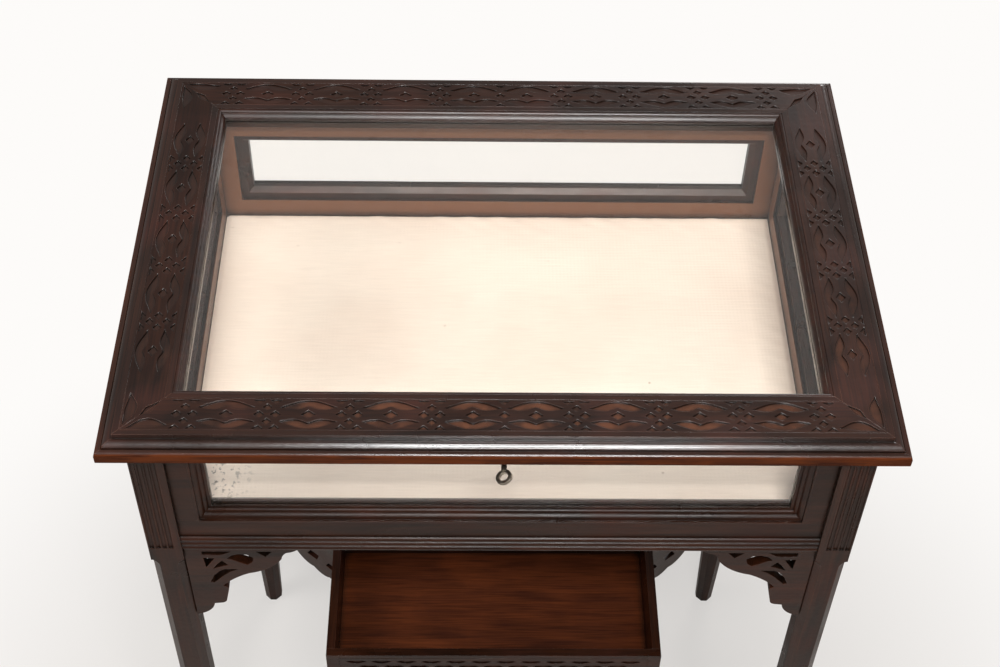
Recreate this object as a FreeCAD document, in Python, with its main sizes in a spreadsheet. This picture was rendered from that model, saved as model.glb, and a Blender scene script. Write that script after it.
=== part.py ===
"""A glazed display table: a lidded case on four legs with a small tray below.

Millimetres. X runs along the table, Y from its front to its back, Z up. The origin is on the floor,
under the middle of the whole outline.
"""
import FreeCAD
import Part
import math
import os
import Sketcher

DOC = FreeCAD.newDocument("display_table")
SHEET = DOC.addObject("Spreadsheet::Sheet", "Sizes")
NODES = []


# ---------------------------------------------------------------- sizes

class Size:
    """A length together with the formula on the sheet that gives it."""

    def __init__(self, value, formula):
        self.value = float(value)
        self.formula = formula

    def __add__(self, other):
        other = as_size(other)
        return Size(self.value + other.value, f"({self.formula} + {other.formula})")

    def __sub__(self, other):
        other = as_size(other)
        return Size(self.value - other.value, f"({self.formula} - {other.formula})")

    def __mul__(self, other):
        other = as_size(other)
        return Size(self.value * other.value, f"({self.formula} * {other.formula})")

    def __truediv__(self, other):
        other = as_size(other)
        return Size(self.value / other.value, f"({self.formula} / {other.formula})")

    def __neg__(self):
        return Size(-self.value, f"(0 - {self.formula})")

    def __rsub__(self, other):
        return as_size(other) - self

    __radd__ = __add__
    __rmul__ = __mul__


def as_size(amount):
    """A plain number as a size."""
    if isinstance(amount, Size):
        return amount
    return Size(amount, f"{float(amount):.6f}")


def size(alias, value):
    """Writes one driving dimension to the next row of the sheet."""
    row = size.rows + 1
    size.rows = row
    SHEET.set(f"A{row}", alias.replace("_", " "))
    SHEET.set(f"B{row}", str(value))
    SHEET.setAlias(f"B{row}", alias)
    return Size(value, f"Sizes.{alias}")


size.rows = 0

# the whole table
table_height = size("table_height", 760)
lid_length = size("lid_length", 563)
lid_depth = size("lid_depth", 402)
lid_thickness = size("lid_thickness", 18)
lid_gap = size("lid_gap", 0.4)
overhang = size("overhang", 16.5)
back_overhang = size("back_overhang", 15.5)

# the legs
leg_width = size("leg_width", 25)
foot_width = size("foot_width", 18)
taper_height = size("taper_height", 150)
corner_chamfer = size("corner_chamfer", 5.8)
block_bottom = size("block_bottom", 601)
stop_length = size("stop_length", 8.5)
stop_step = size("stop_step", 1)
flute_radius = size("flute_radius", 2)
flute_lift = size("flute_lift", 0.6)
flute_pitch = size("flute_pitch", 4.75)
flute_border = size("flute_border", 3)
flute_margin = size("flute_margin", 15)
flute_top_margin = size("flute_top_margin", 6)

# the tenons of the rails in the legs
tenon_thickness = size("tenon_thickness", 7)
tenon_length = size("tenon_length", 6.5)
tenon_shoulder = size("tenon_shoulder", 4)

# the case
case_height = size("case_height", 130.6)
rail_setback = size("rail_setback", 4)
top_rail_height = size("top_rail_height", 21.1)
bottom_rail_height = size("bottom_rail_height", 35.5)
stile_width = size("stile_width", 15.5)
moulding_width = size("moulding_width", 10.5)
moulding_depth = size("moulding_depth", 8)
moulding_proud = size("moulding_proud", 1.2)
pane_thickness = size("pane_thickness", 2)
pane_cover = size("pane_cover", 4)
bead_depth = size("bead_depth", 8)
reed_height = size("reed_height", 5.4)
reed_proud = size("reed_proud", 1.9)
reed_root = size("reed_root", 0.6)
floor_height = size("floor_height", 11)
floor_thickness = size("floor_thickness", 6)
groove_depth = size("groove_depth", 4)
lining_thickness = size("lining_thickness", 2.5)
lining_gap = size("lining_gap", 0.5)

# the corner brackets
bracket_length = size("bracket_length", 88)
bracket_drop = size("bracket_drop", 92)
bracket_thickness = size("bracket_thickness", 8)

# the lid
frame_face = size("frame_face", 37.2)
edge_width = size("edge_width", 11.8)
lid_glass_thickness = size("lid_glass_thickness", 3)
lid_glass_depth = size("lid_glass_depth", 8)
lid_glass_gap = size("lid_glass_gap", 0.3)
glazing_width = size("glazing_width", 6.5)
fret_margin = size("fret_margin", 4.6)
fret_depth = size("fret_depth", 1.2)

# the hinges
hinge_inset = size("hinge_inset", 60)
hinge_length = size("hinge_length", 40)
leaf_width = size("leaf_width", 14)
leaf_thickness = size("leaf_thickness", 1.2)
knuckle_radius = size("knuckle_radius", 2.4)
pin_radius = size("pin_radius", 1.2)
pin_play = size("pin_play", 0.05)
knuckle_gap = size("knuckle_gap", 0.4)
pin_drop = size("pin_drop", 0.4)

# the lock and its key
lock_length = size("lock_length", 44)
lock_depth = size("lock_depth", 9)
lock_height = size("lock_height", 19)
lock_wall = size("lock_wall", 1.5)
key_drop = size("key_drop", 14.4)
key_reach = size("key_reach", 4.6)
key_radius = size("key_radius", 2)
key_play = size("key_play", 0.6)
bit_length = size("bit_length", 4.6)
bit_width = size("bit_width", 1.8)
bow_width = size("bow_width", 11.6)
bow_length = size("bow_length", 11.8)
bow_wire = size("bow_wire", 2.4)
escutcheon_width = size("escutcheon_width", 10)
escutcheon_height = size("escutcheon_height", 12)
staple_spacing = size("staple_spacing", 18)
staple_drop = size("staple_drop", 6.5)
bolt_throw = size("bolt_throw", 5)

# the tray and its diagonal boards
tray_margin = size("tray_margin", 81)
tray_top = size("tray_top", 283)
tray_height = size("tray_height", 56)
tray_wall = size("tray_wall", 8)
tray_floor = size("tray_floor", 5)
tray_floor_lift = size("tray_floor_lift", 2)
tray_groove = size("tray_groove", 2.5)
tray_fret_end = size("tray_fret_end", 12)
board_thickness = size("board_thickness", 6)
board_height = size("board_height", 76.5)
board_under_tray = size("board_under_tray", 58)

# planes that several pieces share
LID_FRONT = (key_reach - lid_depth) / 2
LID_BACK = (key_reach + lid_depth) / 2
LID_MIDDLE = key_reach / 2
LID_UNDER = table_height - lid_thickness
CASE_TOP = LID_UNDER - lid_gap
CASE_BOTTOM = CASE_TOP - case_height
CASE_FRONT = LID_FRONT + overhang
CASE_BACK = LID_BACK - back_overhang
CASE_MIDDLE = (CASE_FRONT + CASE_BACK) / 2
CASE_LENGTH = lid_length - overhang * 2
CASE_DEPTH = CASE_BACK - CASE_FRONT
RAIL_THICKNESS = leg_width - rail_setback
INNER_LENGTH = CASE_LENGTH - leg_width * 2
INNER_DEPTH = CASE_DEPTH - leg_width * 2
WINDOW_BOTTOM = CASE_BOTTOM + bottom_rail_height
WINDOW_TOP = CASE_TOP - top_rail_height
CLEAR_BOTTOM = WINDOW_BOTTOM + moulding_width
CLEAR_TOP = WINDOW_TOP - moulding_width
FLOOR_TOP = CASE_BOTTOM + floor_height + floor_thickness
PIN_HEIGHT = CASE_TOP - pin_drop
BOTTOM_TENON = (CASE_BOTTOM + tenon_shoulder, WINDOW_BOTTOM - tenon_shoulder)
TOP_TENON = (WINDOW_TOP + tenon_shoulder, CASE_TOP - tenon_shoulder)
NOTHING = as_size(0)

# how far a cutting tool stands out past the face it cuts, and the same where the waste is wide
OVERCUT = 1
SPARE = 20


def sides():
    """The four sides of the case: name, turn, half the distance to it, and its length between the legs."""
    return (
        ("front", 0, CASE_DEPTH / 2, INNER_LENGTH),
        ("right", 90, CASE_LENGTH / 2, INNER_DEPTH),
        ("back", 180, CASE_DEPTH / 2, INNER_LENGTH),
        ("left", -90, CASE_LENGTH / 2, INNER_DEPTH),
    )


# ---------------------------------------------------------------- drawing helpers

def bind(thing, name, amount):
    """Ties a property to its formula on the sheet."""
    thing.setExpression(name, as_size(amount).formula)


def put(thing, x, y, z, turn=0):
    """Places an object at x, y, z, turned about the vertical by a number of degrees."""
    upright = FreeCAD.Vector(0, 0, 1)
    thing.Placement = FreeCAD.Placement(FreeCAD.Vector(0, 0, 0), FreeCAD.Rotation(upright, turn))
    bind(thing, "Placement.Base.x", x)
    bind(thing, "Placement.Base.y", y)
    bind(thing, "Placement.Base.z", z)


def keep(thing, label):
    """Marks an object as a sub-part of the table."""
    thing.Label = label
    NODES.append(thing)
    return thing


def block(name, x, y, z, length, width, height):
    """A rectangular block from its low corner."""
    solid = DOC.addObject("Part::Box", name)
    bind(solid, "Length", length)
    bind(solid, "Width", width)
    bind(solid, "Height", height)
    put(solid, x, y, z)
    return solid


def rod(name, x, y, z, radius, length, axis):
    """A round bar from x, y, z along an axis."""
    solid = DOC.addObject("Part::Cylinder", name)
    bind(solid, "Radius", radius)
    bind(solid, "Height", length)
    put(solid, x, y, z)
    solid.Placement.Rotation = FreeCAD.Rotation(FreeCAD.Vector(0, 0, 1), FreeCAD.Vector(*axis))
    return solid


def cut(name, base, tools):
    """A base solid with others taken away."""
    for number, tool in enumerate(tools):
        result = DOC.addObject("Part::Cut", f"{name}_{number}")
        result.Base = base
        result.Tool = tool
        base = result
    return base


def join(name, solids):
    """Several solids fused into one."""
    result = DOC.addObject("Part::MultiFuse", name)
    result.Shapes = solids
    result.Refine = True
    return result


def new_body(label, x, y, z, turn=0):
    """An empty body at its place."""
    body = DOC.addObject("PartDesign::Body", label)
    put(body, x, y, z, turn)
    return body


def arc_between(start, end, radius, bend):
    """The short arc from start to end; bend 1 keeps its centre on the left, -1 on the right."""
    dx = end[0] - start[0]
    dy = end[1] - start[1]
    chord = math.hypot(dx, dy)
    rise = math.sqrt(max(radius * radius - chord * chord / 4, 0))
    cx = (start[0] + end[0]) / 2 - bend * dy / chord * rise
    cy = (start[1] + end[1]) / 2 + bend * dx / chord * rise
    first = math.atan2(start[1] - cy, start[0] - cx)
    last = math.atan2(end[1] - cy, end[0] - cx)
    circle = Part.Circle(FreeCAD.Vector(cx, cy, 0), FreeCAD.Vector(0, 0, 1), radius)
    if bend > 0:
        return Part.ArcOfCircle(circle, first, last)
    return Part.ArcOfCircle(circle, last, first)


def draw(drawing, corners):
    """Draws one closed outline, every corner and radius tied to the sheet.

    A corner is (x, y), with a straight edge to the next corner, or (x, y, radius, bend), with an arc.
    """
    first = drawing.GeometryCount
    count = len(corners)
    places = [(as_size(c[0]), as_size(c[1])) for c in corners]
    starts = []
    for number, corner in enumerate(corners):
        here = places[number]
        there = places[(number + 1) % count]
        start = (here[0].value, here[1].value)
        end = (there[0].value, there[1].value)
        if len(corner) == 2:
            line = Part.LineSegment(FreeCAD.Vector(*start, 0), FreeCAD.Vector(*end, 0))
            drawing.addGeometry(line, False)
            starts.append(1)
        else:
            drawing.addGeometry(arc_between(start, end, as_size(corner[2]).value, corner[3]), False)
            starts.append(1 if corner[3] > 0 else 2)
    for number, corner in enumerate(corners):
        edge = first + number
        after = (number + 1) % count
        join_ends = Sketcher.Constraint("Coincident", edge, 3 - starts[number], first + after, starts[after])
        drawing.addConstraint(join_ends)
        for kind, place in zip(("DistanceX", "DistanceY"), places[number]):
            rule = Sketcher.Constraint(kind, edge, starts[number], place.value)
            index = drawing.addConstraint(rule)
            bind(drawing, f"Constraints[{index}]", place)
        if len(corner) == 4:
            radius = as_size(corner[2])
            index = drawing.addConstraint(Sketcher.Constraint("Radius", edge, radius.value))
            bind(drawing, f"Constraints[{index}]", radius)


def sketch(body, name, role, outlines, offset=(0, 0, 0), turn=0):
    """A sketch on one of the body's own planes, shifted and turned about the plane's upright axis."""
    drawing = body.newObject("Sketcher::SketchObject", f"{body.Name}_{name}")
    plane = [feature for feature in body.Origin.OriginFeatures if feature.Role == role][0]
    drawing.AttachmentSupport = [(plane, "")]
    drawing.MapMode = "FlatFace"
    upright = FreeCAD.Rotation(FreeCAD.Vector(0, 1, 0), turn)
    drawing.AttachmentOffset = FreeCAD.Placement(FreeCAD.Vector(0, 0, 0), upright)
    for axis, amount in zip("xyz", offset):
        bind(drawing, f"AttachmentOffset.Base.{axis}", amount)
    for corners in outlines:
        draw(drawing, corners)
    return drawing


def pad(body, profile, length, backwards=False, both=False):
    """Raises a sketch into a solid."""
    feature = body.newObject("PartDesign::Pad", f"{profile.Name}_pad")
    feature.Profile = profile
    bind(feature, "Length", length)
    feature.Reversed = backwards
    feature.Midplane = both
    return feature


def pocket_through(body, profile):
    """Cuts a sketch right through the body both ways."""
    feature = body.newObject("PartDesign::Pocket", f"{profile.Name}_pocket")
    feature.Profile = profile
    feature.Type = "ThroughAll"
    feature.Midplane = True
    return feature


def sweep(body, path, profile):
    """Carries a profile round a closed rectangular path with mitred corners."""
    feature = body.newObject("PartDesign::AdditivePipe", f"{profile.Name}_sweep")
    feature.Profile = (profile, [""])
    feature.Spine = (path, ["Edge1", "Edge2", "Edge3", "Edge4"])
    feature.Transition = "Right corner"
    return feature


def rectangle(low_x, low_y, high_x, high_y):
    """The corners of an upright rectangle."""
    return [(low_x, low_y), (high_x, low_y), (high_x, high_y), (low_x, high_y)]


# ---------------------------------------------------------------- legs

def square_on(half):
    """A square about the leg's axis."""
    return rectangle(-half, -half, half, half)


def stop_chamfer(side):
    """What is cut off one corner of the leg, seen square to its diagonal.

    Below the block's sharp corner is a small step, then a hollow that runs out on the chamfer.
    """
    diagonal = math.sqrt(2)
    corner = leg_width * (diagonal / 2)
    face = corner - corner_chamfer / diagonal
    foot_face = foot_width * (diagonal / 2) - corner_chamfer / diagonal
    outside = corner + SPARE
    hollow_depth = corner_chamfer / diagonal - stop_step
    hollow = (hollow_depth * hollow_depth + stop_length * stop_length) / (hollow_depth * 2)
    return [
        (side * corner, block_bottom),
        (side * (corner - stop_step), block_bottom, hollow, side),
        (side * face, block_bottom - stop_length),
        (side * face, taper_height),
        (side * foot_face, 0),
        (side * foot_face, -SPARE),
        (side * outside, -SPARE),
        (side * outside, block_bottom),
    ]


def flute_outline():
    """Half of one flute about its own axis, stopped square at both ends."""
    return rectangle(NOTHING, block_bottom + flute_margin, flute_radius, CASE_TOP - flute_top_margin)


def flutes(body, role, across, outward, pattern_role):
    """Four hollow flutes on one face of the leg's block, counted from the outer corner.

    Their axes lie just outside the face, and a plain border is left beside the rail.
    """
    count = 4
    first = flute_border - leg_width / 2
    shift = (first, NOTHING, (leg_width / 2 + flute_lift) * outward)
    profile = sketch(body, f"flute_{across}", role, [flute_outline()], shift)
    groove = body.newObject("PartDesign::Groove", f"{profile.Name}_groove")
    groove.Profile = profile
    groove.ReferenceAxis = (profile, ["V_Axis"])
    groove.Angle = 360
    pattern = body.newObject("PartDesign::LinearPattern", f"{profile.Name}_row")
    pattern.Originals = [groove]
    axis = [feature for feature in body.Origin.OriginFeatures if feature.Role == pattern_role][0]
    pattern.Direction = (axis, [""])
    bind(pattern, "Length", flute_pitch * (count - 1))
    pattern.Occurrences = count
    body.Tip = pattern


def mortises(body, role, outward):
    """The two mortises in one inner face of the leg, for the tenons of a top and a bottom rail."""
    near = rail_setback + (RAIL_THICKNESS - tenon_thickness) / 2 - leg_width / 2
    far = near + tenon_thickness
    holes = [rectangle(near, low, far, high) for low, high in (BOTTOM_TENON, TOP_TENON)]
    drawing = sketch(body, f"mortise_{role[0]}", role, holes, (0, 0, leg_width * (outward / 2)))
    feature = body.newObject("PartDesign::Pocket", f"{drawing.Name}_pocket")
    feature.Profile = drawing
    feature.Reversed = outward < 0
    bind(feature, "Length", tenon_length)


def make_leg(label, x, y, turn):
    """A leg with a fluted block at its head, chamfered corners below it and a tapered foot.

    As drawn its outward faces look along -Y and -X, and the rails meet its +X and +Y faces.
    """
    body = new_body(label, x, y, NOTHING, turn)
    shank = sketch(body, "shank", "XY_Plane", [square_on(leg_width / 2)], (0, 0, taper_height))
    pad(body, shank, CASE_TOP - taper_height)
    foot = sketch(body, "foot", "XY_Plane", [square_on(foot_width / 2)])
    knee = sketch(body, "knee", "XY_Plane", [square_on(leg_width / 2)], (0, 0, taper_height))
    taper = body.newObject("PartDesign::AdditiveLoft", f"{label}_taper")
    taper.Profile = foot
    taper.Sections = [knee]
    for diagonal in (45, -45):
        corners = [stop_chamfer(1), stop_chamfer(-1)]
        name = "stops" if diagonal > 0 else "other_stops"
        pocket_through(body, sketch(body, name, "XZ_Plane", corners, turn=diagonal))
    mortises(body, "YZ_Plane", 1)
    mortises(body, "XZ_Plane", -1)
    flutes(body, "XZ_Plane", "front", 1, "X_Axis")
    flutes(body, "YZ_Plane", "side", -1, "Y_Axis")
    keep(body, label)


def make_legs():
    """One leg at each corner, turned so that its fluted faces look outwards."""
    out_x = (CASE_LENGTH - leg_width) / 2
    front = CASE_FRONT + leg_width / 2
    back = CASE_BACK - leg_width / 2
    make_leg("leg_front_left", -out_x, front, 0)
    make_leg("leg_front_right", out_x, front, 90)
    make_leg("leg_back_right", out_x, back, 180)
    make_leg("leg_back_left", -out_x, back, -90)


# ---------------------------------------------------------------- case

def reed_profile(count):
    """A row of half-round reeds standing on the rail's face, seen from the end."""
    corners = []
    radius = (reed_height * reed_height / 4 + reed_proud * reed_proud) / (reed_proud * 2)
    for number in range(count):
        corners.append((-reed_root, reed_height * number, radius, -1))
    corners.append((-reed_root, reed_height * count))
    corners.append((NOTHING, reed_height * count))
    corners.append((NOTHING, NOTHING))
    return corners


def window_profile():
    """The glazing moulding's section below the clear opening, outwards to the left.

    From the rail inwards: a proud bead, a quirk, an ovolo, a fillet and a small round down to the sill.
    """
    low = WINDOW_BOTTOM
    top = CLEAR_BOTTOM
    quirk = moulding_depth * 0.1
    ovolo_foot = moulding_depth * 0.5
    sill = moulding_depth * 0.75
    bead_width = moulding_width * 0.13
    ovolo_top = moulding_width * 0.52
    fillet_top = moulding_width * 0.62
    round_top = moulding_width * 0.8
    return [
        (moulding_depth, low),
        (-moulding_proud, low),
        (-moulding_proud, low + bead_width),
        (quirk, low + bead_width, moulding_depth * 0.55, -1),
        (ovolo_foot, low + ovolo_top),
        (ovolo_foot, low + fillet_top, moulding_depth * 0.28, -1),
        (sill, low + round_top),
        (sill, top),
        (moulding_depth, top),
    ]


def bead_profile():
    """The section of the bead that holds a pane from inside."""
    low = WINDOW_BOTTOM
    top = CLEAR_BOTTOM
    start = moulding_depth + pane_thickness
    end = start + bead_depth
    splay = moulding_width * 0.4
    return [(start, low), (start, top), (end - splay, top), (end, top - splay), (end, low)]


def bar_on_side(name, side, inset, thickness, length, low, high):
    """A straight bar along one side, its outer face set in from the rails' outer face."""
    _, turn, reach, _ = side
    bar = DOC.addObject("Part::Box", name)
    bind(bar, "Length", length)
    bind(bar, "Width", thickness)
    bind(bar, "Height", high - low)
    place_on_side(bar, turn, reach - rail_setback - inset, -length / 2, low)
    return bar


def make_rail(label, side, low, high, tenon):
    """A rail between two leg blocks, with a stub tenon at each end."""
    length = side[3]
    shoulder = (RAIL_THICKNESS - tenon_thickness) / 2
    body = bar_on_side(f"{label}_bar", side, NOTHING, RAIL_THICKNESS, length, low, high)
    tongue = bar_on_side(f"{label}_tenons", side, shoulder, tenon_thickness, length + tenon_length * 2, *tenon)
    return join(f"{label}_rail", [body, tongue])


def make_top_rail(side):
    """The rail under the lid; the front and back ones are let in for the lock and the hinges."""
    name = side[0]
    rail = make_rail(f"top_{name}", side, WINDOW_TOP, CASE_TOP, TOP_TENON)
    tools = []
    if name == "front":
        tools = lock_mortise()
    if name == "back":
        tools = [leaf_mortise(side) for side in (-1, 1)]
    keep(cut(f"top_rail_{name}", rail, tools), f"top_rail_{name}")


def place_on_side(thing, turn, reach, along, z):
    """Puts a piece drawn against the front on the side that the turn names.

    Its own X runs along the side from a start, its own Y inwards from the outer face.
    """
    angle = math.radians(turn)
    out_x = round(math.sin(angle))
    out_y = -round(math.cos(angle))
    run_x = -out_y
    run_y = out_x
    x = reach * out_x + along * run_x
    y = CASE_MIDDLE + reach * out_y + along * run_y
    put(thing, x, y, z, turn)


def make_bottom_rail(side):
    """The rail below the window, grooved on its inner face for the floor board."""
    name = side[0]
    rail = make_rail(f"bottom_{name}", side, CASE_BOTTOM, WINDOW_BOTTOM, BOTTOM_TENON)
    groove = bar_on_side(f"floor_groove_{name}", side, RAIL_THICKNESS - groove_depth, groove_depth + OVERCUT,
                         side[3], CASE_BOTTOM + floor_height, FLOOR_TOP)
    keep(cut(f"bottom_rail_{name}", rail, [groove]), f"bottom_rail_{name}")


def make_base_moulding(name, turn, reach, length):
    """Three reeds along the foot of the case, planted on the bottom rail."""
    body = DOC.addObject("PartDesign::Body", f"base_moulding_{name}_body")
    place_on_side(body, turn, reach - rail_setback, NOTHING, CASE_BOTTOM)
    profile = sketch(body, "reeds", "YZ_Plane", [reed_profile(3)])
    pad(body, profile, length, both=True)
    keep(body, f"base_moulding_{name}")


def make_window_frame(name, turn, reach, length):
    """Two stiles joined by the moulding that frames the clear opening."""
    body = DOC.addObject("PartDesign::Body", f"window_frame_{name}_body")
    place_on_side(body, turn, reach - rail_setback, NOTHING, NOTHING)
    half = length / 2
    clear = half - stile_width - moulding_width
    path = sketch(body, "opening", "XZ_Plane", [rectangle(-clear, CLEAR_BOTTOM, clear, CLEAR_TOP)])
    profile = sketch(body, "moulding", "YZ_Plane", [window_profile()])
    sweep(body, path, profile)
    inner = half - stile_width
    stiles = [
        rectangle(-half, WINDOW_BOTTOM, -inner, WINDOW_TOP),
        rectangle(inner, WINDOW_BOTTOM, half, WINDOW_TOP),
    ]
    pad(body, sketch(body, "stiles", "XZ_Plane", stiles), RAIL_THICKNESS, backwards=True)
    keep(body, f"window_frame_{name}")


def make_pane(name, turn, reach, length):
    """A pane behind the moulding, covered by it all round."""
    wide = length - (stile_width + moulding_width - pane_cover) * 2
    pane = DOC.addObject("Part::Box", f"pane_{name}_box")
    bind(pane, "Length", wide)
    bind(pane, "Width", pane_thickness)
    bind(pane, "Height", CLEAR_TOP - CLEAR_BOTTOM + pane_cover * 2)
    place_on_side(pane, turn, reach - rail_setback - moulding_depth, -wide / 2, CLEAR_BOTTOM - pane_cover)
    keep(pane, f"pane_{name}")


def make_glazing_bead(name, turn, reach, length):
    """A bead round the pane's inner face."""
    body = DOC.addObject("PartDesign::Body", f"glazing_bead_{name}")
    place_on_side(body, turn, reach - rail_setback, NOTHING, NOTHING)
    clear = length / 2 - stile_width - moulding_width
    path = sketch(body, "opening", "XZ_Plane", [rectangle(-clear, CLEAR_BOTTOM, clear, CLEAR_TOP)])
    sweep(body, path, sketch(body, "section", "YZ_Plane", [bead_profile()]))
    return body


def bracket_outline():
    """The bracket from its corner under the case: a stepped tail, a long ogee, a knob and a round foot."""
    along = bracket_length / 88
    down = bracket_drop / -92
    return [
        (NOTHING, NOTHING),
        (bracket_length, NOTHING, along * 18, -1),
        (along * 77, down * 6.5, along * 12, 1),
        (along * 73, down * 14.5, along * 40, -1),
        (along * 47, down * 33.8, along * 60, 1),
        (along * 24.6, down * 51.5, along * 5, -1),
        (along * 28.6, down * 57),
        (along * 25.6, down * 71.5, along * 5, -1),
        (along * 21.4, down * 75.7),
        (along * 15.4, down * 76.6, along * 18, -1),
        (NOTHING, -bracket_drop),
    ]


def bracket_piercings():
    """The openings cut through a bracket: a slit, two triangles, an arch, a chevron and a leaf."""
    along = bracket_length / 88
    down = bracket_drop / -92
    shapes = (
        ((13, 4.5), (35.5, 4.5), (30, 8.2), (24.5, 9.6), (13, 9)),
        ((54, 4.5), (66.5, 4.5), (61, 11.5)),
        ((13.4, 13), (22, 14), (14.4, 26)),
        ((19.4, 28), (23.4, 21.3), (27.2, 17), (32, 22.8), (28, 24)),
        ((31, 14.5), (35, 10), (41, 8), (47, 8.8), (51.6, 13), (50.6, 18.5), (46.4, 22.4), (41, 19.4), (35.5, 15.8)),
        ((15.6, 46), (19.3, 37), (24.1, 31), (28, 28.6), (39, 28.2), (32.9, 31.6), (26.9, 37), (18.4, 47)),
    )
    return [[(along * x, down * y) for x, y in corners] for corners in shapes]


def make_brackets(name, turn, reach, length):
    """Two pierced brackets under one side, one against each leg."""
    for end, mirror in (("left", 1), ("right", -1)):
        label = f"bracket_{name}_{end}"
        body = DOC.addObject("PartDesign::Body", f"{label}_body")
        place_on_side(body, turn, reach - rail_setback, length * (-mirror / 2), CASE_BOTTOM)
        shape = [flipped(corners, mirror) for corners in [bracket_outline()] + bracket_piercings()]
        pad(body, sketch(body, "outline", "XZ_Plane", shape), bracket_thickness, backwards=True)
        keep(body, label)


def flipped(corners, mirror):
    """An outline mirrored left to right when mirror is -1."""
    result = []
    for corner in corners:
        if len(corner) == 2:
            result.append((corner[0] * mirror, corner[1]))
        else:
            result.append((corner[0] * mirror, corner[1], corner[2], corner[3] * mirror))
    return result


def make_case():
    """Rails, windows, mouldings and brackets on all four sides, then the floor and its lining."""
    beads = []
    for side in sides():
        name, turn, reach, length = side
        make_top_rail(side)
        make_bottom_rail(side)
        make_window_frame(name, turn, reach, length)
        make_pane(name, turn, reach, length)
        make_base_moulding(name, turn, reach, length)
        make_brackets(name, turn, reach, length)
        beads.append(make_glazing_bead(name, turn, reach, length))
    all_beads = DOC.addObject("Part::Compound", "all_glazing_beads")
    all_beads.Links = beads
    keep(all_beads, "glazing_beads")
    low_y = CASE_MIDDLE - INNER_DEPTH / 2
    low_z = CASE_BOTTOM + floor_height
    half = INNER_LENGTH / 2
    along = block("floor_along", -half - groove_depth, low_y, low_z,
                  INNER_LENGTH + groove_depth * 2, INNER_DEPTH, floor_thickness)
    across = block("floor_across", -half, low_y - groove_depth, low_z,
                   INNER_LENGTH, INNER_DEPTH + groove_depth * 2, floor_thickness)
    keep(join("floor", [along, across]), "case_floor")
    wide = INNER_LENGTH - lining_gap * 2
    deep = INNER_DEPTH - lining_gap * 2
    lining = block("lining", -wide / 2, low_y + lining_gap, FLOOR_TOP, wide, deep, lining_thickness)
    keep(lining, "lining")


# ---------------------------------------------------------------- lid

def edge_profile():
    """The section of a moulded lid member, from its lower lip inwards, on its underside.

    Going up: a lip rounded above and below, a narrow groove, a thumb moulding and a square fillet that
    rises to the flat top.
    """
    across = edge_width / 11.8
    up = lid_thickness / 18
    inner = edge_width + frame_face
    return [
        (inner, NOTHING),
        (across * 2.1, NOTHING, across * 2.1, -1),
        (NOTHING, up * 2.1),
        (NOTHING, up * 7.9, across * 2.6, -1),
        (across * 2.6, up * 10.5),
        (across * 4.2, up * 10.5),
        (across * 4.2, up * 9.8),
        (across * 5.1, up * 9.8),
        (across * 5.1, up * 11.6, across * 5, -1),
        (edge_width, up * 13.6),
        (edge_width, lid_thickness),
        (inner, lid_thickness),
    ]


def mitre_waste(tip, inner, side):
    """What a mitre takes off one end of a lid member, seen from above, from its tip to the inner edge."""
    inside = tip - inner
    beyond = tip + SPARE
    return [
        (tip * side, NOTHING),
        (inside * side, inner),
        (inside * side, inner + SPARE),
        (beyond * side, inner + SPARE),
        (beyond * side, NOTHING),
    ]


def fret_channel(body, length):
    """A shallow channel along a lid member's flat, in which the fret lies level with the margins."""
    low = edge_width + fret_margin
    high = edge_width + frame_face - fret_margin
    channel = rectangle(length / -2, low, length / 2, high)
    drawing = sketch(body, "fret", "XY_Plane", [channel], (0, 0, lid_thickness))
    feature = body.newObject("PartDesign::Pocket", f"{drawing.Name}_pocket")
    feature.Profile = drawing
    bind(feature, "Length", fret_depth)


def make_moulded_member(label, x, y, turn, length):
    """A lid member with the moulded edge outwards, mitred at both ends."""
    body = new_body(f"{label}_body", x, y, LID_UNDER, turn)
    profile = sketch(body, "section", "YZ_Plane", [edge_profile()])
    pad(body, profile, length, both=True)
    ends = [mitre_waste(length / 2, edge_width + frame_face, side) for side in (-1, 1)]
    pocket_through(body, sketch(body, "mitres", "XY_Plane", ends))
    fret_channel(body, length)
    return body


def ring(label, outer_x, outer_y, profile_corners):
    """A mitred ring under the lid's top, its section drawn at the front, from the frame inwards."""
    body = new_body(f"{label}_body", NOTHING, (LID_FRAME_FRONT + LID_FRAME_BACK) / 2, LID_UNDER)
    path = sketch(body, "path", "XY_Plane", [rectangle(-outer_x, -outer_y, outer_x, outer_y)])
    corners = [(c[0] - outer_y,) + tuple(c[1:]) for c in profile_corners]
    sweep(body, path, sketch(body, "section", "YZ_Plane", [corners]))
    keep(body, label)


LID_FRAME_FRONT = LID_FRONT + edge_width + frame_face
LID_FRAME_BACK = LID_BACK - edge_width - frame_face
LID_OPENING_X = lid_length / 2 - edge_width - frame_face
LID_OPENING_Y = (LID_FRAME_BACK - LID_FRAME_FRONT) / 2
LID_GLASS_TOP = lid_thickness - lid_glass_depth
LID_GLASS_UNDER = LID_GLASS_TOP - lid_glass_thickness


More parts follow.
